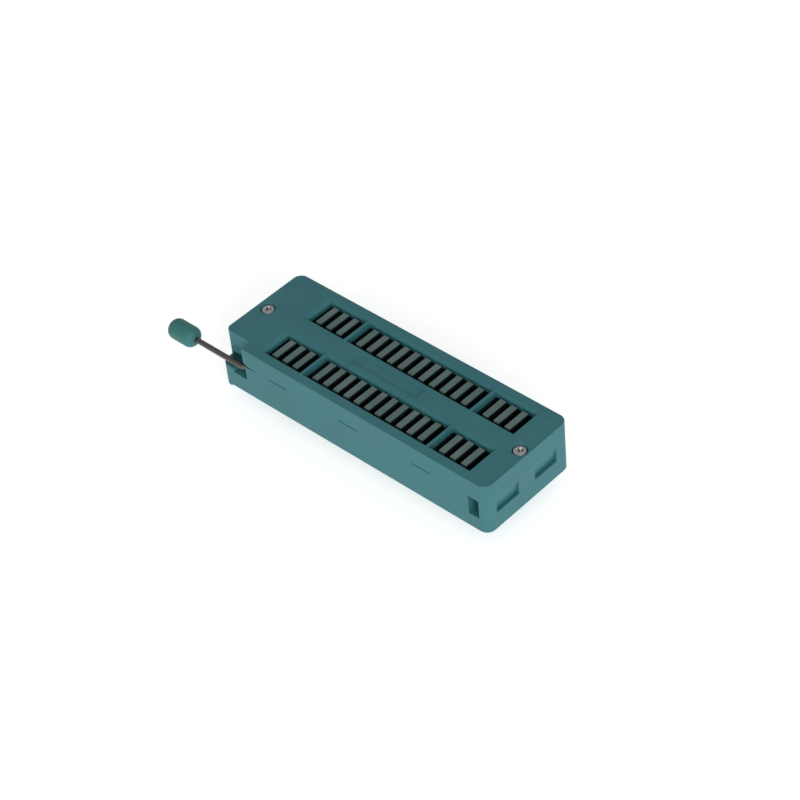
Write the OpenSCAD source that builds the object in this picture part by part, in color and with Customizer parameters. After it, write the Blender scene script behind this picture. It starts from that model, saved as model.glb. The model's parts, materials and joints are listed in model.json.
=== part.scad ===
// Zero-insertion-force socket for dual-in-line packages, with a wire lever at one end.
//
// The length runs along X, with the lever end at -X. The front, beside the lever, is at -Y.
// Z = 0 is the face of the circuit board that the socket's feet stand on.
//
// The lever turns a cross shaft in the base. Two eccentric lobes on that shaft push a comb plate,
// the slider, along X under the cover. A finger beside each slot of the comb opens that slot's contact.

/* [Contacts] */
// Distance from one contact to the next
pitch = 2.54; // [2.54:0.01:2.7]
// Contacts in each row
row_positions = 20; // [14:1:24]
// Distance between the centre lines of the two rows of slots
slot_row_spacing = 11.43; // [11.3:0.01:11.5]
// Distance between the two rows of solder tails
tail_row_spacing = 15.24; // [14.8:0.01:15.6]
// Thickness of the spring sheet
leaf_t = 0.2; // [0.14:0.01:0.21]
// Width of a contact leaf, along its slot
leaf_w = 5.4; // [4.8:0.1:5.6]
// Gap between the two leaves of a contact
leaf_gap = 0.12; // [0.06:0.01:0.13]
// Outward flare of a leaf's tip
leaf_flare = 0.1; // [0.04:0.01:0.11]
// Depth of the leaf tips below the parting plane
leaf_tip_drop = 0.8; // [0.4:0.1:1.4]
// Width of a solder tail, along the row
tail_w = 0.5; // [0.4:0.05:0.6]
// Thickness of a solder tail
tail_t = 0.3; // [0.2:0.05:0.4]
// Reach of the solder tails below the face of the board
tail_drop = 3.2; // [2:0.1:5]

/* [Body] */
// Width of body between the foot of a window and the front or back face
side_margin = 2.285; // [2.235:0.005:2.735]
// Height of the base moulding
base_h = 7.2; // [7.1:0.1:8]
// Height of the cover moulding
cover_h = 3.9; // [3.6:0.1:4.6]
// Length of body between the left face and the first slot
lever_end_l = 10.2; // [10.1:0.01:13]
// Length of body between the last slot and the right face
far_end_l = 5.5; // [5.4:0.01:7]
// Radius of the body's upright corners
corner_r = 1.8; // [1:0.1:1.9]
// Thickness of the cover's side walls
cover_wall = 1; // [0.8:0.1:1.1]
// Thickness of the cover's top
cover_top_t = 1.6; // [1.3:0.1:1.8]
// Thickness of the base's floor
floor_t = 1.2; // [0.9:0.1:1.6]
// Thickness of the base's rear wall behind the cam chamber
rear_wall = 1.5; // [1.3:0.1:1.8]
// Height of the standoff feet
foot_h = 0.4; // [0.2:0.1:0.8]
// Diameter of a standoff foot
foot_d = 2.2; // [1.6:0.1:2.6]
// Depth of the relief in the underside between the tails
relief_depth = 0.5; // [0.2:0.1:0.7]

/* [Windows] */
// Width of a slot, along the row
slot_w = 1.34; // [1.25:0.01:1.45]
// Length of a slot, front to back
slot_l = 6.1; // [5.8:0.1:6.3]
// Run of the lead-in slope at the windows' lever end
lead_left = 0.92; // [0.4:0.01:1.2]
// Run of the lead-in slope at the windows' far end
lead_right = 0.35; // [0.2:0.01:0.6]
// Run of the lead-in slope along the windows' long sides
lead_side = 0.4; // [0.2:0.01:0.6]
// Depth of the lead-in slopes
lead_depth = 0.5; // [0.3:0.05:0.8]
// Width of a full-height rib across a window
rib_w = 0.56; // [0.4:0.01:0.8]
// Slots between an end of a window and the nearest full-height rib
rib_after = 4; // [2:1:6]
// Depth of the comb's bars below the top face
bar_depth = 0.55; // [0.4:0.05:0.9]
// Length of the label recess
label_l = 15.8; // [8:0.1:24]
// Width of the label recess
label_w = 2.5; // [1.5:0.1:3]
// Depth of the label recess
label_depth = 0.25; // [0.1:0.05:0.4]

/* [Lever] */
// Diameter of the lever's wire
wire_d = 1.1; // [1:0.02:1.14]
// Distance from the cross shaft's axis to the tip of the knob
lever_reach = 19.4; // [16:0.1:26]
// Depth of the cross shaft's axis below the parting plane
shaft_drop = 1.8; // [1.8:0.05:2]
// Distance from the left face to the cross shaft's axis
shaft_inset = 5.65; // [5.55:0.05:5.7]
// Distance from the front face to the centre line of the handle
handle_inset = 0.8; // [0.75:0.05:1.1]
// Bend radius of the elbow, at the wire's centre line
bend_r = 0.9; // [0.7:0.05:1.2]
// Eccentricity of the cam lobes
cam_throw = 0.5; // [0.4:0.02:0.52]
// Diameter of the cam lobes
cam_d = 2.6; // [2.4:0.05:2.7]
// Length of a cam lobe along the shaft
cam_l = 3.2; // [2:0.1:3.6]
// Diameter of the knob
knob_d = 4.2; // [3.4:0.1:5]
// Length of the knob
knob_l = 6.5; // [5:0.1:9]
// Radius of the knob's round ends
knob_round = 1.5; // [0.6:0.1:1.6]
// Depth of wire inside the knob
knob_grip = 4.6; // [2.5:0.1:4.8]
// Angle that the lever turns through, in degrees
lever_swing = 90; // [70:1:90]

/* [Lever corner] */
// Length of the cut corner beside the handle
corner_cut_l = 6.25; // [6.25:0.05:6.6]
// Depth of the cut corner, from the front face
corner_cut_w = 2.3; // [1.9:0.05:2.4]
// Radius of the upright edge where the cut meets the left face
corner_cut_r = 1.2; // [0.6:0.1:1.4]
// Depth of the ledge under the handle, below the parting plane
ledge_drop = 2.7; // [2.6:0.05:3.2]
// Depth of the roof of the undercut behind the handle, below the parting plane
undercut_drop = 1.05; // [0.6:0.05:1.15]
// Depth of the undercut, from the cut corner's wall
undercut_w = 1.2; // [0.6:0.05:1.25]
// Depth of the elbow's pocket below the ledge
pocket_depth = 0.85; // [0.3:0.05:1.2]
// Length of the elbow's pocket
pocket_l = 3.4; // [2.6:0.1:4]
// Radius of the clearance over the elbow
elbow_clear_r = 2.3; // [2.1:0.05:2.6]

/* [Fasteners and end details] */
// Distance from the left face to the left screw
screw_inset_left = 2.35; // [2.2:0.05:2.5]
// Distance from the right face to the right screw
screw_inset_right = 1.75; // [1.7:0.05:2]
// Diameter of a screw's head
screw_head_d = 2.5; // [2.2:0.1:2.7]
// Clearance round a screw's head in its counterbore
head_gap = 0.2; // [0.05:0.05:0.3]
// Height of a screw's head
screw_head_h = 0.8; // [0.6:0.05:1]
// Diameter of a screw's shank
screw_d = 1.4; // [1.2:0.05:1.5]
// Length of a screw's shank
screw_l = 6.8; // [5.5:0.1:8]
// Thickness of the screw bosses' walls
boss_wall = 1; // [0.7:0.05:1]
// Length of the catch windows in the front and back faces
catch_l = 2.4; // [1.5:0.1:3]
// Height of the catch windows
catch_h = 4.2; // [3:0.1:5]
// Distance from the right face to a catch window
catch_inset = 1.95; // [1.9:0.05:2.4]
// Depth of the catch windows
catch_depth = 2.2; // [0.8:0.1:3]
// Width of a ramp pocket in the right face
ramp_w = 5.8; // [4:0.1:6.4]
// Height of a ramp pocket
ramp_h = 3.5; // [2:0.1:3.8]
// Depth of a ramp pocket at its foot
ramp_depth = 0.8; // [0.4:0.1:0.9]
// Distance from the centre line to the middle of the front ramp pocket
ramp_front_y = 5.6; // [4.8:0.1:6]
// Distance from the centre line to the middle of the rear ramp pocket
ramp_rear_y = 4.5; // [4.4:0.1:6]
// Length of a pry slit in the parting line
pry_l = 4.4; // [3:0.1:6]
// Height of a pry slit
pry_h = 0.25; // [0.15:0.05:0.4]
// Depth of a pry slit
pry_depth = 0.5; // [0.2:0.05:0.6]
// Distance from one pry slit to the next
pry_spacing = 17.5; // [12:0.5:19]

/* [Fits] */
// Running clearance round the shaft and the cam lobes
run_gap = 0.05; // [0.03:0.01:0.06]
// Clearance round what slides or drops into place
fit_gap = 0.1; // [0.07:0.01:0.12]

/* [Hidden] */
$fn = 48;
// how far cuts run past a face, and how far joined shapes reach into each other
past = 1;
join = 0.05;

// body
row_l = (row_positions - 1) * pitch;
body_l = lever_end_l + row_l + slot_w + far_end_l;
body_w = slot_row_spacing + slot_l + 2 * side_margin;
left_x = -body_l / 2;
right_x = body_l / 2;
front_y = -body_w / 2;
back_y = body_w / 2;
base_z = foot_h;
part_z = base_z + base_h;
top_z = part_z + cover_h;
cavity_top_z = top_z - cover_top_t;
cell_floor_z = base_z + floor_t;

// slots, and the bars of the comb between them
first_slot_x = left_x + lever_end_l + slot_w / 2;
last_slot_x = first_slot_x + row_l;
function slot_x(i) = first_slot_x + i * pitch;
row_y = slot_row_spacing / 2;
tail_y = tail_row_spacing / 2;
bar_w = pitch - slot_w;
rib_gaps = [rib_after, row_positions - rib_after];
sides = [-1, 1];

// windows at the foot of their slopes
window_left_x = first_slot_x - slot_w / 2;
window_right_x = last_slot_x + slot_w / 2;

// lever, shaft and cam; the lobes start behind the axis and end in front of it
wire_r = wire_d / 2;
shaft_x = left_x + shaft_inset;
axis_z = part_z - shaft_drop;
handle_y = front_y + handle_inset;
knob_tip_x = shaft_x - lever_reach;
cam_x = shaft_x - cam_throw * sin(lever_swing / 2);
cam_z = axis_z + cam_throw * cos(lever_swing / 2);
travel = 2 * cam_throw * sin(lever_swing / 2);

// lever corner
cut_x = left_x + corner_cut_l;
cut_y = front_y + corner_cut_w;
undercut_y = cut_y + undercut_w;
pocket_x = shaft_x + wire_r + 4.5 * fit_gap;
left_skin = 0.8;

// cam chamber of the base, and the yokes of the slider that stand in it
chamber_wall = 0.9;
yoke_t = 0.8;
yoke_half = cam_d / 2 + run_gap;
yoke_left_x = cam_x - yoke_half - yoke_t;
yoke_right_x = cam_x + yoke_half + yoke_t;
chamber_left_x = yoke_left_x - 4 * fit_gap;
chamber_right_x = yoke_right_x + travel + 4 * fit_gap;
chamber_front_y = undercut_y + chamber_wall;
chamber_back_y = back_y - rear_wall;
chamber_floor_z = axis_z - cam_d / 2 - 2 * fit_gap;
cam_y = -chamber_front_y - cam_l / 2 - 2 * fit_gap;
shaft_end_y = chamber_back_y + rear_wall / 2;

// contact cells of the base
cell_wall = 0.62;
cell_w = pitch - cell_wall;
cell_l = leaf_w + 11 * fit_gap;
tail_slot_gap = 0.05;

// slider
slider_z = part_z + fit_gap;
slider_top_z = cavity_top_z - fit_gap;
slider_left_x = window_left_x - 1.9;
slider_right_x = window_right_x + 1.2;
slider_half_w = body_w / 2 - cover_wall - 2 * fit_gap;
arm_half_w = -chamber_front_y - fit_gap;
bar_top_z = top_z - bar_depth;
bar_slope = 0.5;
finger_t = 0.35;
finger_w = leaf_w - 1;
leaf_tip_z = part_z - leaf_tip_drop;
finger_z = leaf_tip_z - 1.2;

// contacts: both leaves stand clear of the finger's whole travel
leaf_a_x = -cell_w / 2 + fit_gap / 2 + finger_t + travel + leaf_flare + 0.7 * fit_gap;
leaf_b_x = leaf_a_x + leaf_t + leaf_gap;
flare_h = 0.7;

// screws
screw_x = [left_x + screw_inset_left, right_x - screw_inset_right];
boss_d = screw_d + 2 * boss_wall;
head_seat_z = top_z - screw_head_h;
thread_gap = 0.02;

function two_digits(n) = n < 10 ? str("0", n) : str(n);
function contact_name(row, i) = str("contact_", row, "_", two_digits(i + 1));

// ---- shared shapes ----

// A box given by its lowest and its highest corner.
module block(low, high) {
    translate(low) cube(high - low);
}

// A box on one side of the centre line, from y0 to y1 away from it.
module side_block(side, x0, x1, y0, y1, z0, z1) {
    block([x0, side > 0 ? y0 : -y1, z0], [x1, side > 0 ? y1 : -y0, z1]);
}

// The body's outline seen from above, between two heights.
module body_prism(z0, z1) {
    translate([0, 0, z0]) linear_extrude(z1 - z0) {
        for (sx = sides, sy = sides)
            translate([sx * (body_l / 2 - corner_r), sy * (body_w / 2 - corner_r)]) circle(corner_r);
        square([body_l - 2 * corner_r, body_w], center = true);
        square([body_l, body_w - 2 * corner_r], center = true);
    }
}

// An outline in X and Z, drawn out along Y.
module along_y(y0, y1) {
    translate([0, y1, 0]) rotate([90, 0, 0]) linear_extrude(y1 - y0) children();
}

// An outline in Y and Z, drawn out along X.
module along_x(x0, x1) {
    translate([x0, 0, 0]) rotate([90, 0, 90]) linear_extrude(x1 - x0) children();
}

// The corner that is cut away so that the handle can swing up, between two heights.
module corner_cut(z0, z1) {
    block([left_x - past, front_y - past, z0], [cut_x, cut_y, z1]);
    difference() {
        block([left_x - past, cut_y - join, z0], [left_x + corner_cut_r, cut_y + corner_cut_r, z1]);
        translate([left_x + corner_cut_r, cut_y + corner_cut_r, z0 - past])
            cylinder(r = corner_cut_r, h = z1 - z0 + 2 * past);
    }
}

// ---- base ----

// The pocket that one contact stands in, with the slot in the floor for its tail.
module contact_cell(i, side) {
    x = slot_x(i);
    half_w = cell_w / 2;
    half_slot = tail_w / 2 + tail_slot_gap;
    half_t = tail_t / 2 + tail_slot_gap;
    side_block(side, x - half_w, x + half_w, row_y - cell_l / 2, row_y + cell_l / 2,
               cell_floor_z, part_z + past);
    side_block(side, x - half_slot, x + half_slot, tail_y - half_t, tail_y + half_t,
               base_z - past, cell_floor_z + join);
}

// The chamber that the cam lobes and the yokes work in, with the middle bearing left standing.
module cam_chamber() {
    difference() {
        block([chamber_left_x, chamber_front_y, chamber_floor_z],
              [chamber_right_x, chamber_back_y, part_z + past]);
        block([shaft_x - 1.4, -0.9, base_z], [shaft_x + 1.4, 0.9, axis_z + wire_r]);
        translate([screw_x[0], 0, base_z]) cylinder(d = boss_d, h = part_z);
    }
}

// The cradle that the cross shaft lies in, open at the top so that the shaft drops in.
module shaft_cradle() {
    along_y(cut_y - past, shaft_end_y + fit_gap) translate([shaft_x, axis_z]) {
        circle(wire_r + run_gap);
        translate([-wire_r - run_gap, 0]) square([wire_d + 2 * run_gap, part_z - axis_z + past]);
    }
}

// The ledge, the undercut behind it and the pocket that the elbow turns in.
module lever_corner() {
    corner_cut(part_z - ledge_drop, part_z + past);
    block([left_x + left_skin, cut_y - join, part_z - ledge_drop],
          [pocket_x, undercut_y, part_z - undercut_drop]);
    block([pocket_x - pocket_l, front_y - past, part_z - ledge_drop - pocket_depth],
          [pocket_x, cut_y + undercut_w / 2, part_z - undercut_drop]);
    // the elbow's clearance under the cover's edge
    block([cut_x - join, front_y - past, part_z - undercut_drop - join], [pocket_x, cut_y, part_z + past]);
    block([pocket_x - join, front_y - past, part_z - 1.8 * pry_h],
          [pocket_x + 1.1, front_y + 2 * pry_depth, part_z + past]);
}

// A pocket in the right face, flush at its top and deepest at its foot.
module ramp_pocket(y) {
    foot_z = part_z - ramp_h;
    along_y(y - ramp_w / 2, y + ramp_w / 2)
        polygon([[right_x, part_z], [right_x + past, part_z], [right_x + past, foot_z],
                 [right_x - ramp_depth, foot_z]]);
}

module catch_window(side) {
    x1 = right_x - catch_inset;
    side_block(side, x1 - catch_l, x1, back_y - catch_depth, back_y + past,
               part_z - catch_h, part_z + past);
}

// A slit under the cover's edge, where a blade lifts the cover off.
module pry_slit(side, x0, x1) {
    side_block(side, x0, x1, back_y - pry_depth, back_y + past, part_z - pry_h, part_z + past);
}

module pry_slits() {
    for (side = sides, k = [-1 : 1])
        pry_slit(side, k * pry_spacing - pry_l / 2, k * pry_spacing + pry_l / 2);
    pry_slit(-1, pocket_x, pocket_x + 2.7);
}

module feet() {
    inset = foot_d / 2 + 0.9;
    for (sx = sides, sy = sides)
        translate([sx * (body_l / 2 - inset), sy * (body_w / 2 - inset), 0])
            cylinder(d = foot_d, h = foot_h + join);
    // the middle foot, inside the relief
    cylinder(d = foot_d, h = foot_h + relief_depth + join);
    // the foot under the lever's corner runs out to both faces
    intersection() {
        block([left_x, front_y, 0], [left_x + inset, front_y + inset, foot_h + join]);
        body_prism(0, foot_h + join);
    }
}

module base() {
    color("#4a7f80") union() {
        difference() {
            body_prism(base_z, part_z);
            for (i = [0 : row_positions - 1], side = sides) contact_cell(i, side);
            cam_chamber();
            shaft_cradle();
            lever_corner();
            for (x = screw_x)
                translate([x, 0, head_seat_z - screw_l - 2 * fit_gap])
                    cylinder(d = screw_d + 2 * thread_gap, h = part_z);
            for (side = sides) catch_window(side);
            ramp_pocket(-ramp_front_y);
            ramp_pocket(ramp_rear_y);
            pry_slits();
            block([first_slot_x, -row_y / 2, base_z - past], [last_slot_x, row_y / 2, base_z + relief_depth]);
        }
        feet();
    }
}

// ---- cover ----

// One window, sloped down to its foot on all four sides and straight from there down.
module window(side) {
    foot_z = top_z - lead_depth;
    low_z = cavity_top_z - past;
    high_z = top_z + past;
    near = row_y - slot_l / 2;
    far = row_y + slot_l / 2;
    intersection() {
        along_y(-body_w, body_w)
            polygon([[window_left_x, low_z], [window_left_x, foot_z], [window_left_x - lead_left, top_z],
                     [window_left_x - lead_left, high_z], [window_right_x + lead_right, high_z],
                     [window_right_x + lead_right, top_z], [window_right_x, foot_z],
                     [window_right_x, low_z]]);
        along_x(left_x, right_x) scale([side, 1])
            polygon([[near, low_z], [near, foot_z], [near - lead_side, top_z], [near - lead_side, high_z],
                     [far + lead_side, high_z], [far + lead_side, top_z], [far, foot_z], [far, low_z]]);
    }
}

// The full-height ribs that stand across both windows.
module window_ribs() {
    for (gap = rib_gaps) {
        x = slot_x(gap - 0.5);
        block([x - rib_w / 2, front_y + cover_wall, cavity_top_z], [x + rib_w / 2, back_y - cover_wall, top_z]);
    }
}

// The space under the cover's top that the slider works in.
module cover_cavity() {
    half_w = body_w / 2 - cover_wall;
    difference() {
        union() {
            block([chamber_left_x, chamber_front_y, part_z - past], [slider_left_x, half_w, cavity_top_z]);
            block([slider_left_x - fit_gap, -half_w, part_z - past],
                  [right_x - cover_wall, half_w, cavity_top_z]);
        }
        for (x = screw_x) translate([x, 0, part_z - 2 * past]) cylinder(d = boss_d, h = cover_h + 2 * past);
    }
}

// Tongues that hold the cross shaft down in its cradles.
module shaft_tongues() {
    half_w = wire_r + run_gap - fit_gap;
    foot_z = axis_z + wire_r + run_gap;
    block([shaft_x - half_w, cut_y, foot_z], [shaft_x + half_w, chamber_front_y, part_z + join]);
    block([shaft_x - half_w, chamber_back_y, foot_z],
          [shaft_x + half_w, shaft_end_y, cavity_top_z + join]);
}

module cover() {
    color("#41696b") union() {
        difference() {
            body_prism(part_z, top_z);
            corner_cut(part_z - past, top_z + past);
            along_y(front_y - past, cut_y) translate([shaft_x, axis_z]) circle(elbow_clear_r);
            cover_cavity();
            difference() {
                for (side = sides) window(side);
                window_ribs();
            }
            block([-label_l / 2, -label_w / 2, top_z - label_depth], [label_l / 2, label_w / 2, top_z + past]);
            for (x = screw_x) translate([x, 0, part_z - past]) {
                cylinder(d = screw_d + 2 * fit_gap, h = cover_h + 2 * past);
                translate([0, 0, head_seat_z - part_z + past])
                    cylinder(d = screw_head_d + 2 * head_gap, h = screw_head_h + past);
            }
        }
        shaft_tongues();
    }
}

// ---- slider ----

// A raised bar between two slots, sloped at both of its ends.
module comb_bar(x, side) {
    half = slot_l / 2 - fit_gap;
    along_x(x - bar_w / 2, x + bar_w / 2) translate([side * row_y, 0])
        polygon([[-half, slider_top_z - join], [half, slider_top_z - join], [half - bar_slope, bar_top_z],
                 [bar_slope - half, bar_top_z]]);
}

// The finger that pushes one contact's leaf, hanging beside its slot.
module finger(x, side) {
    left = x - cell_w / 2 + fit_gap / 2;
    side_block(side, left, left + finger_t, row_y - finger_w / 2, row_y + finger_w / 2,
               finger_z, slider_z + join);
}

// The pair of legs that stand on both sides of a cam lobe.
module yoke(side) {
    y0 = cam_y - cam_l / 2 + fit_gap;
    y1 = cam_y + cam_l / 2 - fit_gap;
    foot_z = axis_z - wire_r;
    side_block(side, yoke_left_x, yoke_left_x + yoke_t, y0, y1, foot_z, slider_z + join);
    side_block(side, yoke_right_x - yoke_t, yoke_right_x, y0, y1, foot_z, slider_z + join);
}

module slider() {
    color("#50665f") union() {
        difference() {
            union() {
                block([slider_left_x, -slider_half_w, slider_z], [slider_right_x, slider_half_w, slider_top_z]);
                block([yoke_left_x, -arm_half_w, slider_z], [slider_left_x + join, arm_half_w, slider_top_z]);
            }
            for (i = [0 : row_positions - 1], side = sides)
                side_block(side, slot_x(i) - slot_w / 2, slot_x(i) + slot_w / 2, row_y - slot_l / 2,
                           row_y + slot_l / 2, slider_z - past, slider_top_z + past);
            // room for the left screw's boss, in the cover
            translate([screw_x[0], 0, slider_z - past]) {
                cylinder(d = boss_d + 2 * fit_gap, h = 2 * past + cover_h);
                translate([-boss_d, -boss_d / 2 - fit_gap, 0])
                    cube([boss_d, boss_d + 2 * fit_gap, 2 * past + cover_h]);
            }
        }
        for (i = [1 : row_positions - 1], side = sides)
            if (i != rib_gaps[0] && i != rib_gaps[1]) comb_bar(slot_x(i - 0.5), side);
        for (i = [0 : row_positions - 1], side = sides) finger(slot_x(i), side);
        for (side = sides) yoke(side);
    }
}

// ---- lever ----

module lever_crank() {
    handle_end_x = knob_tip_x + knob_l - knob_grip;
    color("#5b5552") union() {
        translate([handle_end_x, handle_y, axis_z]) rotate([0, 90, 0])
            cylinder(r = wire_r, h = shaft_x - bend_r - handle_end_x);
        translate([shaft_x - bend_r, handle_y + bend_r, axis_z]) rotate([0, 0, -90])
            rotate_extrude(angle = 90) translate([bend_r, 0]) circle(wire_r);
        along_y(handle_y + bend_r, shaft_end_y) translate([shaft_x, axis_z]) circle(wire_r);
        for (side = sides)
            along_y(side * cam_y - cam_l / 2, side * cam_y + cam_l / 2) translate([cam_x, cam_z]) circle(d = cam_d);
    }
}

// Half of the knob's outline, from its tip at 0 to its neck at knob_l.
module knob_outline() {
    r = knob_d / 2;
    square([r - knob_round, knob_l]);
    translate([0, knob_round]) square([r, knob_l - 2 * knob_round]);
    for (z = [knob_round, knob_l - knob_round])
        intersection() {
            translate([r - knob_round, z]) circle(knob_round);
            square([r, knob_l]);
        }
}

module lever_knob() {
    color("#447875") translate([knob_tip_x, handle_y, axis_z]) rotate([0, 90, 0])
        difference() {
            rotate_extrude() knob_outline();
            translate([0, 0, knob_l - knob_grip]) cylinder(r = wire_r + thread_gap, h = knob_grip + past);
        }
}

// ---- screws ----

module screw(x) {
    recess_l = 0.6 * screw_head_d;
    recess_w = 0.16 * screw_head_d;
    recess_depth = 0.6 * screw_head_h;
    color("#b9b9b4") translate([x, 0, head_seat_z]) difference() {
        union() {
            cylinder(d = screw_head_d, h = screw_head_h);
            translate([0, 0, screw_d / 2 - screw_l]) cylinder(d = screw_d, h = screw_l - screw_d / 2 + join);
            translate([0, 0, -screw_l]) cylinder(d1 = screw_d / 3, d2 = screw_d, h = screw_d / 2);
        }
        for (turn = [0, 90]) rotate([0, 0, turn])
            translate([-recess_l / 2, -recess_w / 2, screw_head_h - recess_depth])
                cube([recess_l, recess_w, recess_depth + past]);
    }
}

// ---- contacts ----

// A stamped contact: two leaves with flared tips on one strap, and a tail bent down from the strap.
module contact(i, side) {
    bend_z = leaf_tip_z - flare_h;
    low = cell_floor_z;
    strap_z = low + leaf_t;
    a0 = leaf_a_x;
    a1 = leaf_a_x + leaf_t;
    b0 = leaf_b_x;
    b1 = leaf_b_x + leaf_t;
    color("#c4b27a") translate([slot_x(i), 0, 0]) union() {
        along_y(side * row_y - leaf_w / 2, side * row_y + leaf_w / 2)
            polygon([[-tail_w / 2, low], [b1, low], [b1, bend_z], [b1 + leaf_flare, leaf_tip_z],
                     [b0 + leaf_flare, leaf_tip_z], [b0, bend_z], [b0, strap_z], [a1, strap_z], [a1, bend_z],
                     [a1 - leaf_flare, leaf_tip_z], [a0 - leaf_flare, leaf_tip_z], [a0, bend_z], [a0, strap_z],
                     [-tail_w / 2, strap_z]]);
        side_block(side, -tail_w / 2, tail_w / 2, tail_y - tail_t / 2, tail_y + tail_t / 2,
                   -tail_drop, strap_z);
    }
}

// ---- the assembly ----

base();
cover();
slider();
lever_crank();
lever_knob();
screw(screw_x[0]);  // screw_left
screw(screw_x[1]);  // screw_right
for (i = [0 : row_positions - 1]) {
    contact(i, -1);
    contact(i, 1);
}
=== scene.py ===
import json
import math

import bmesh
import bpy
from mathutils import Matrix, Vector


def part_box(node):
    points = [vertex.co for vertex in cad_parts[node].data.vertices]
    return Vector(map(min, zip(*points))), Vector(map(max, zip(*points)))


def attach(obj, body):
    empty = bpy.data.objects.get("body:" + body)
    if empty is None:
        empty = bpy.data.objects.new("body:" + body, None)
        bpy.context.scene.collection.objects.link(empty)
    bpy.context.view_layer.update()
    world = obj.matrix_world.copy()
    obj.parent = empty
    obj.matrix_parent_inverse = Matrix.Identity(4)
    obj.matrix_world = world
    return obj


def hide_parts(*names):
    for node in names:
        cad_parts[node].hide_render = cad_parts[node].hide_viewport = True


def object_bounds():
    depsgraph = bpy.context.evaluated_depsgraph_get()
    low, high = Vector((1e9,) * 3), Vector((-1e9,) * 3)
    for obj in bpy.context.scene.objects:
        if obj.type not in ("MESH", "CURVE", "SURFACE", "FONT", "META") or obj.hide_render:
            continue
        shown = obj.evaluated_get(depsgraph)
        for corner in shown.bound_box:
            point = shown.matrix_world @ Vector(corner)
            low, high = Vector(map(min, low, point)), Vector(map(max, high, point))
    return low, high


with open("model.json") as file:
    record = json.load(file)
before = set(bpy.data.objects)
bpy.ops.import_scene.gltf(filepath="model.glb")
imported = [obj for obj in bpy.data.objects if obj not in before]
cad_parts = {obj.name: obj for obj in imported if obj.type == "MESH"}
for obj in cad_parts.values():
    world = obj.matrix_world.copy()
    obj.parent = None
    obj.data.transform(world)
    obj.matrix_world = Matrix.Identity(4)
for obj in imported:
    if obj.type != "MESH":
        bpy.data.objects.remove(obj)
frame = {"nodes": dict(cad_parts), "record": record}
cad_box = [list(corner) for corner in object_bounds()]
scene = bpy.context.scene
MM = 0.001
# how far below the bar tops the painted slot shade reaches near black
SHADE_DEPTH = 0.35 * MM
WELD = 2e-6
ON_PLANE = 5e-6
SHARP_ABOVE = math.radians(28)
SMOOTH_BELOW = math.radians(35)


# ---- camera ----

def place_camera():
    """A long lens above the far end, looking back along the socket."""
    lens = bpy.data.cameras.new("camera")
    lens.lens, lens.sensor_width = 108.94, 36.0
    lens.clip_start, lens.clip_end = 0.01, 20.0
    camera = bpy.data.objects.new("camera", lens)
    camera.location = (0.23441, -0.21873, 0.30064)
    camera.rotation_euler = [math.radians(turn) for turn in (47.189, 4.513, 42.510)]
    scene.collection.objects.link(camera)
    scene.camera = camera


place_camera()


# ---- surface effects, shared by the finishes ----

def effect(name, inputs, outputs):
    """An empty node group with named inputs and outputs, and its two end nodes."""
    group = bpy.data.node_groups.new(name, "ShaderNodeTree")
    for label, kind, value in inputs:
        socket = group.interface.new_socket(label, in_out="INPUT", socket_type=kind)
        if value is not None:
            socket.default_value = value
    for label, kind in outputs:
        group.interface.new_socket(label, in_out="OUTPUT", socket_type=kind)
    return group, group.nodes.new("NodeGroupInput"), group.nodes.new("NodeGroupOutput")


def node(tree, kind, **settings):
    made = tree.nodes.new(kind)
    for key, value in settings.items():
        if key.startswith("in_"):
            made.inputs[int(key[3:])].default_value = value
        else:
            setattr(made, key, value)
    return made


def join(tree, *pairs):
    for source, target in pairs:
        tree.links.new(source, target)


def mould_grain():
    """The fine sparked texture of a moulding tool, and the faint clouds that the flow of plastic leaves."""
    group, given, result = effect(
        "mould grain",
        [("Grain per metre", "NodeSocketFloat", 9000.0), ("Clouds per metre", "NodeSocketFloat", 160.0)],
        [("Height", "NodeSocketFloat"), ("Clouds", "NodeSocketFloat")])
    place = node(group, "ShaderNodeTexCoord")
    grain = node(group, "ShaderNodeTexNoise", in_3=3.0, in_4=0.6)
    clouds = node(group, "ShaderNodeTexNoise", in_3=4.0, in_4=0.55)
    soften = node(group, "ShaderNodeMapRange", in_1=0.3, in_2=0.7)
    join(group,
         (place.outputs["Object"], grain.inputs["Vector"]),
         (place.outputs["Object"], clouds.inputs["Vector"]),
         (given.outputs["Grain per metre"], grain.inputs["Scale"]),
         (given.outputs["Clouds per metre"], clouds.inputs["Scale"]),
         (grain.outputs[0], result.inputs["Height"]),
         (clouds.outputs[0], soften.inputs[0]),
         (soften.outputs[0], result.inputs["Clouds"]))
    return group


def edge_highlight_and_wear():
    """A mask that is bright on edges and corners, broken up into patches: it sets where a pale colour paints
    the edges' highlight along with wear.
    """
    group, given, result = effect(
        "edge highlight and wear",
        [("Width", "NodeSocketFloat", 0.0002), ("Patches per metre", "NodeSocketFloat", 900.0)],
        [("Mask", "NodeSocketFloat")])
    rounded = node(group, "ShaderNodeBevel", samples=6)
    flat = node(group, "ShaderNodeNewGeometry")
    bend = node(group, "ShaderNodeVectorMath", operation="DOT_PRODUCT")
    spread = node(group, "ShaderNodeMapRange", in_1=0.985, in_2=0.75)
    place = node(group, "ShaderNodeTexCoord")
    patches = node(group, "ShaderNodeTexNoise", in_3=3.0, in_4=0.6)
    contrast = node(group, "ShaderNodeMapRange", in_1=0.38, in_2=0.62)
    both = node(group, "ShaderNodeMath", operation="MULTIPLY")
    join(group,
         (given.outputs["Width"], rounded.inputs["Radius"]),
         (rounded.outputs[0], bend.inputs[0]),
         (flat.outputs["Normal"], bend.inputs[1]),
         (bend.outputs["Value"], spread.inputs[0]),
         (place.outputs["Object"], patches.inputs["Vector"]),
         (given.outputs["Patches per metre"], patches.inputs["Scale"]),
         (patches.outputs[0], contrast.inputs[0]),
         (spread.outputs[0], both.inputs[0]),
         (contrast.outputs[0], both.inputs[1]),
         (both.outputs[0], result.inputs["Mask"]))
    return group


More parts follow.
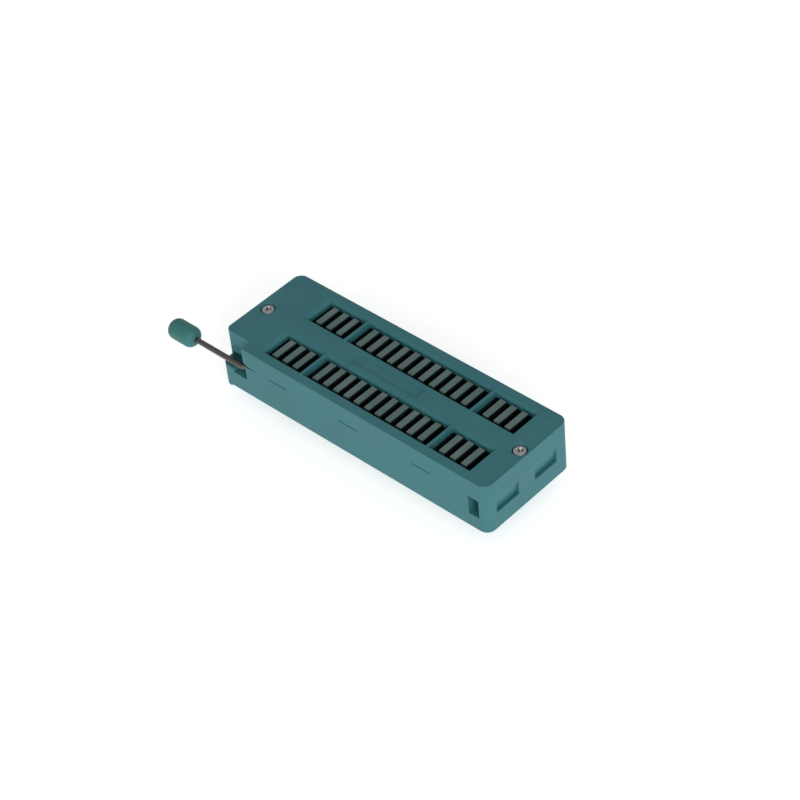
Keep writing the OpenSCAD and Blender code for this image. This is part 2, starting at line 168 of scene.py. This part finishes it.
def drawn_lines():
    """Fine lines along a metal part, as drawing or rolling leaves them."""
    group, given, result = effect(
        "drawn lines",
        [("Lines per metre", "NodeSocketFloat", 9000.0), ("Stretch", "NodeSocketVector", (0.03, 1.0, 1.0))],
        [("Lines", "NodeSocketFloat"), ("Stains", "NodeSocketFloat")])
    place = node(group, "ShaderNodeTexCoord")
    stretched = node(group, "ShaderNodeVectorMath", operation="MULTIPLY")
    lines = node(group, "ShaderNodeTexNoise", in_3=2.0, in_4=0.5)
    stains = node(group, "ShaderNodeTexNoise", in_2=700.0, in_3=4.0, in_4=0.6)
    join(group,
         (place.outputs["Object"], stretched.inputs[0]),
         (given.outputs["Stretch"], stretched.inputs[1]),
         (stretched.outputs[0], lines.inputs["Vector"]),
         (given.outputs["Lines per metre"], lines.inputs["Scale"]),
         (place.outputs["Object"], stains.inputs["Vector"]),
         (lines.outputs[0], result.inputs["Lines"]),
         (stains.outputs[0], result.inputs["Stains"]))
    return group


def slot_shade():
    """A mask that is bright at a height and above it, and fades to nothing a little lower; it sets where
    painted shade darkens a colour.
    """
    group, given, result = effect(
        "slot shade",
        [("Height", "NodeSocketFloat", 0.0), ("Fade", "NodeSocketFloat", 0.0004)],
        [("Open", "NodeSocketFloat")])
    place = node(group, "ShaderNodeTexCoord")
    parts = node(group, "ShaderNodeSeparateXYZ")
    above = node(group, "ShaderNodeMath", operation="SUBTRACT")
    share = node(group, "ShaderNodeMath", operation="DIVIDE")
    clipped = node(group, "ShaderNodeMath", operation="ADD", use_clamp=True, in_1=1.0)
    join(group,
         (place.outputs["Object"], parts.inputs[0]),
         (parts.outputs["Z"], above.inputs[0]),
         (given.outputs["Height"], above.inputs[1]),
         (above.outputs[0], share.inputs[0]),
         (given.outputs["Fade"], share.inputs[1]),
         (share.outputs[0], clipped.inputs[0]),
         (clipped.outputs[0], result.inputs["Open"]))
    return group


MOULD_GRAIN, EDGE_HIGHLIGHT_AND_WEAR, DRAWN_LINES, SLOT_SHADE = mould_grain(), edge_highlight_and_wear(), drawn_lines(), slot_shade()


def use(tree, group, **values):
    placed = node(tree, "ShaderNodeGroup", node_tree=group)
    for label, value in values.items():
        placed.inputs[label.replace("_", " ")].default_value = value
    return placed


def blend_colours(tree, factor, low, high):
    mix = node(tree, "ShaderNodeMix", data_type="RGBA")
    mix.inputs["A"].default_value, mix.inputs["B"].default_value = (*low, 1), (*high, 1)
    tree.links.new(factor, mix.inputs["Factor"])
    return mix


# A pale colour over the edge mask: painted edge highlight along with wear.
def highlighted_and_worn(tree, colour, mask, pale):
    mix = node(tree, "ShaderNodeMix", data_type="RGBA")
    mix.inputs["B"].default_value = (*pale, 1)
    join(tree, (mask, mix.inputs["Factor"]), (colour, mix.inputs["A"]))
    return mix


def empty_material(name):
    material = bpy.data.materials.new(name)
    material.use_nodes = True
    return material, material.node_tree, material.node_tree.nodes["Principled BSDF"]


# ---- finishes ----

def moulded_plastic(name, dark, light, highlight_and_wear_colour, roughness, grain, painted_shade_below=None):
    """Satin moulded plastic: grain in the surface, clouds in the colour, pale edges that paint the edges'
    highlight along with wear.

    painted_shade_below is the height under which the colour fades to near black: painted shade for the
    piece's own slots.
    """
    material, tree, shader = empty_material(name)
    shader.inputs["Specular IOR Level"].default_value = 0.2
    surface = use(tree, MOULD_GRAIN)
    highlight_and_wear = use(tree, EDGE_HIGHLIGHT_AND_WEAR)
    colour = blend_colours(tree, surface.outputs["Clouds"], dark, light)
    edged = highlighted_and_worn(tree, colour.outputs["Result"], highlight_and_wear.outputs["Mask"], highlight_and_wear_colour)
    # painted shade: below the given height the colour fades to near black, standing in for the shade inside
    # the slots
    if painted_shade_below is not None:
        shade = use(tree, SLOT_SHADE, Height=painted_shade_below, Fade=SHADE_DEPTH)
        unshaded = edged
        edged = node(tree, "ShaderNodeMix", data_type="RGBA")
        edged.inputs["A"].default_value = (0.003, 0.008, 0.008, 1)
        join(tree, (shade.outputs["Open"], edged.inputs["Factor"]),
             (unshaded.outputs["Result"], edged.inputs["B"]))
    gloss = node(tree, "ShaderNodeMapRange", in_3=roughness - 0.05, in_4=roughness + 0.06)
    bump = node(tree, "ShaderNodeBump", in_0=grain, in_1=0.00004)
    join(tree,
         (edged.outputs["Result"], shader.inputs["Base Color"]),
         (surface.outputs["Clouds"], gloss.inputs[0]),
         (gloss.outputs[0], shader.inputs["Roughness"]),
         (surface.outputs["Height"], bump.inputs["Height"]),
         (bump.outputs[0], shader.inputs["Normal"]))
    return material


def metal(name, dark, light, highlight_and_wear_colour, roughness, stretch):
    """Drawn or plated metal with fine lines along it and faint stains."""
    material, tree, shader = empty_material(name)
    shader.inputs["Metallic"].default_value = 1.0
    marks = use(tree, DRAWN_LINES, Stretch=stretch)
    # pale edges: painted edge highlight along with wear
    highlight_and_wear = use(tree, EDGE_HIGHLIGHT_AND_WEAR, Width=0.1 * MM)
    colour = blend_colours(tree, marks.outputs["Stains"], dark, light)
    edged = highlighted_and_worn(tree, colour.outputs["Result"], highlight_and_wear.outputs["Mask"], highlight_and_wear_colour)
    gloss = node(tree, "ShaderNodeMapRange", in_3=roughness - 0.08, in_4=roughness + 0.12)
    bump = node(tree, "ShaderNodeBump", in_0=0.25, in_1=0.00002)
    join(tree,
         (edged.outputs["Result"], shader.inputs["Base Color"]),
         (marks.outputs["Stains"], gloss.inputs[0]),
         (gloss.outputs[0], shader.inputs["Roughness"]),
         (marks.outputs["Lines"], bump.inputs["Height"]),
         (bump.outputs[0], shader.inputs["Normal"]))
    return material


HOUSING = moulded_plastic(
    "teal housing", dark=(0.037, 0.156, 0.174), light=(0.046, 0.176, 0.196),
    highlight_and_wear_colour=(0.060, 0.205, 0.222), roughness=0.50, grain=0.30)
# the comb's colour fades to painted shade below its bar tops
COMB = moulded_plastic(
    "grey green comb", dark=(0.085, 0.140, 0.132), light=(0.130, 0.195, 0.185),
    highlight_and_wear_colour=(0.16, 0.22, 0.21), roughness=0.55, grain=0.35, painted_shade_below=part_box("slider")[1].z)
KNOB = moulded_plastic(
    "teal knob", dark=(0.032, 0.146, 0.144), light=(0.044, 0.174, 0.170),
    highlight_and_wear_colour=(0.06, 0.205, 0.20), roughness=0.42, grain=0.25)
WIRE = metal(
    "dark steel wire", dark=(0.10, 0.09, 0.088), light=(0.17, 0.155, 0.15),
    highlight_and_wear_colour=(0.42, 0.40, 0.40), roughness=0.36, stretch=(0.03, 1.0, 1.0))
SCREW = metal(
    "plated screw", dark=(0.34, 0.34, 0.34), light=(0.50, 0.50, 0.50),
    highlight_and_wear_colour=(0.66, 0.66, 0.66), roughness=0.30, stretch=(1.0, 1.0, 1.0))
CONTACT = metal(
    "plated contact spring", dark=(0.50, 0.41, 0.22), light=(0.62, 0.52, 0.30),
    highlight_and_wear_colour=(0.75, 0.68, 0.48), roughness=0.34, stretch=(1.0, 1.0, 0.05))


# ---- pieces ----

def finish_with(piece, material):
    piece.data.materials.clear()
    piece.data.materials.append(material)


def stand_for(piece, node_name):
    """The piece takes a node's place on the body that carries the node."""
    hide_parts(node_name)
    bodies = frame["record"]["behaviour"]["bodies"]
    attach(piece, next(body for body, names in bodies.items() if node_name in names))


def new_piece(name, bm, material):
    mesh = bpy.data.meshes.new(name)
    bm.to_mesh(mesh)
    bm.free()
    mesh.shade_smooth()
    mesh.set_sharp_from_angle(angle=SMOOTH_BELOW)
    piece = bpy.data.objects.new(name, mesh)
    scene.collection.objects.link(piece)
    finish_with(piece, material)
    return piece


def softened(node_name, name, material, width, keep):
    """A copy of a CAD node with its sharp edges rounded. keep(edge) says which edges stay sharp."""
    bm = bmesh.new()
    bm.from_mesh(frame["nodes"][node_name].data)
    bmesh.ops.remove_doubles(bm, verts=bm.verts, dist=WELD)
    sharp = [e for e in bm.edges if e.is_manifold and e.calc_face_angle() > SHARP_ABOVE
             and not keep(e)]
    bmesh.ops.bevel(bm, geom=sharp, offset=width, offset_type="OFFSET", segments=2,
                    profile=0.5, affect="EDGES", clamp_overlap=False, miter_outer="ARC")
    piece = new_piece(name, bm, material)
    flatten = piece.modifiers.new("flat faces", "WEIGHTED_NORMAL")
    flatten.keep_sharp, flatten.weight = True, 100
    return piece


parting_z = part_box("base")[1].z


def on_parting(edge):
    return all(abs(v.co.z - parting_z) < ON_PLANE for v in edge.verts)


cover = softened("cover", "cover_shell", HOUSING, 0.09 * MM, keep=on_parting)
stand_for(cover, "cover")
base = softened("base", "base_moulding", HOUSING, 0.05 * MM, keep=on_parting)
stand_for(base, "base")


def lathe(bm, profile, centre, steps=48):
    """Turns a profile of radius and height round an upright line; a radius of 0 closes an end."""
    rings = []
    for radius, height in profile:
        if radius == 0:
            rings.append([bm.verts.new(centre + Vector((0, 0, height)))])
        else:
            turns = [2 * math.pi * k / steps for k in range(steps)]
            rings.append([bm.verts.new(centre + Vector((radius * math.cos(a), radius * math.sin(a), height)))
                          for a in turns])
    for lower, upper in zip(rings, rings[1:]):
        for k in range(steps):
            after = (k + 1) % steps
            corners = [lower[k % len(lower)], lower[after % len(lower)],
                       upper[after % len(upper)], upper[k % len(upper)]]
            bm.faces.new(list(dict.fromkeys(corners)))


ARM_CORNERS = ((-1, -1), (1, -1), (1, 1), (-1, 1))
RECESS_TURN = 20
FOOT_REACH, FOOT_WIDTH = 0.35, 0.6


def cross_recess(centre, reach, width, depth):
    """A tapered cross to cut into a screw's head, standing a little proud of it."""
    bm = bmesh.new()
    for turn in (RECESS_TURN, RECESS_TURN + 90):
        spin = Matrix.Rotation(math.radians(turn), 3, "Z")
        top = [spin @ Vector((x * reach, y * width, 0.2 * depth)) for x, y in ARM_CORNERS]
        foot = [spin @ Vector((x * reach * FOOT_REACH, y * width * FOOT_WIDTH, -depth))
                for x, y in ARM_CORNERS]
        upper, lower = ([bm.verts.new(centre + p) for p in ring] for ring in (top, foot))
        bm.faces.new(upper)
        bm.faces.new(lower[::-1])
        for k in range(4):
            bm.faces.new([lower[k], lower[(k + 1) % 4], upper[(k + 1) % 4], upper[k]])
    return new_piece("recess_cutter", bm, SCREW)


HEAD_H, CROWN_H, TIP_H, THREAD_PITCH = 0.8 * MM, 0.12 * MM, 0.6 * MM, 0.4 * MM
# the dome as shares of the head's radius, each with its drop below the top in crown heights
HEAD_DOME = ((1, 2.6), (0.96, 1.5), (0.86, 0.75), (0.6, 0.2), (0.3, 0.03))


def plated_screw(node_name, name):
    """A domed screw head with a rolled rim and a cross recess, on its threaded shank."""
    low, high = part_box(node_name)
    centre = Vector(((low.x + high.x) / 2, 0, 0))
    radius, top = (high.x - low.x) / 2, high.z
    shank = 0.56 * radius
    root = 0.82 * shank
    seat = top - HEAD_H
    z = low.z + TIP_H
    profile = [(0, low.z), (0.3 * shank, low.z), (shank, z)]
    while z + THREAD_PITCH < seat:
        profile += [(shank, z + 0.35 * THREAD_PITCH), (root, z + 0.6 * THREAD_PITCH),
                    (root, z + 0.75 * THREAD_PITCH), (shank, z + THREAD_PITCH)]
        z += THREAD_PITCH
    profile += [(shank, seat), (0.93 * radius, seat), (radius, seat + 0.08 * MM)]
    profile += [(share * radius, top - drop * CROWN_H) for share, drop in HEAD_DOME]
    profile.append((0, top))
    bm = bmesh.new()
    lathe(bm, profile, centre)
    bmesh.ops.recalc_face_normals(bm, faces=bm.faces)
    screw = new_piece(name, bm, SCREW)
    cutter = cross_recess(centre + Vector((0, 0, top)), reach=0.60 * radius, width=0.15 * radius,
                          depth=0.55 * MM)
    cut = screw.modifiers.new("recess", "BOOLEAN")
    cut.object, cut.operation, cut.solver, cut.use_self = cutter, "DIFFERENCE", "EXACT", True
    bpy.context.view_layer.update()
    shaped = bpy.data.meshes.new_from_object(screw.evaluated_get(bpy.context.evaluated_depsgraph_get()))
    screw.modifiers.clear()
    screw.data = shaped
    shaped.set_sharp_from_angle(angle=SMOOTH_BELOW)
    bpy.data.objects.remove(cutter)
    stand_for(screw, node_name)


plated_screw("screw_left", "screw_at_lever_end")
plated_screw("screw_right", "screw_at_far_end")

for node_name, material in (("slider", COMB), ("lever_crank", WIRE), ("lever_knob", KNOB)):
    finish_with(frame["nodes"][node_name], material)
for node_name, cad in frame["nodes"].items():
    if node_name.startswith("contact_"):
        finish_with(cad, CONTACT)


# ---- floor and light ----

def pale_floor():
    low = cad_box[0][2]
    bpy.ops.mesh.primitive_plane_add(size=6.0, location=(0, 0, low))
    floor = bpy.context.object
    floor.name = "floor"
    material, tree, shader = empty_material("pale floor")
    shader.inputs["Base Color"].default_value = (0.9, 0.9, 0.9, 1)
    shader.inputs["Roughness"].default_value = 0.9
    shader.inputs["Emission Color"].default_value = (1, 1, 1, 1)
    shader.inputs["Emission Strength"].default_value = 0.5
    floor.data.materials.append(material)


def soft_light(name, azimuth, elevation, distance, size, power):
    a, e = math.radians(azimuth), math.radians(elevation)
    back = Vector((math.sin(a) * math.cos(e), -math.cos(a) * math.cos(e), math.sin(e)))
    light = bpy.data.lights.new(name, "AREA")
    light.shape, light.size, light.energy = "DISK", size, power
    lamp = bpy.data.objects.new(name, light)
    lamp.location = back * distance
    lamp.rotation_euler = (-back).to_track_quat("-Z", "Y").to_euler()
    scene.collection.objects.link(lamp)


pale_floor()
soft_light("key light", azimuth=58, elevation=22, distance=1.0, size=0.6, power=4.4)
soft_light("side light", azimuth=12, elevation=24, distance=1.1, size=0.6, power=1.2)

world = bpy.data.worlds.new("studio")
world.use_nodes = True
world.node_tree.nodes["Background"].inputs["Color"].default_value = (1, 1, 1, 1)
world.node_tree.nodes["Background"].inputs["Strength"].default_value = 0.51
scene.world = world
scene.view_settings.view_transform = "Standard"
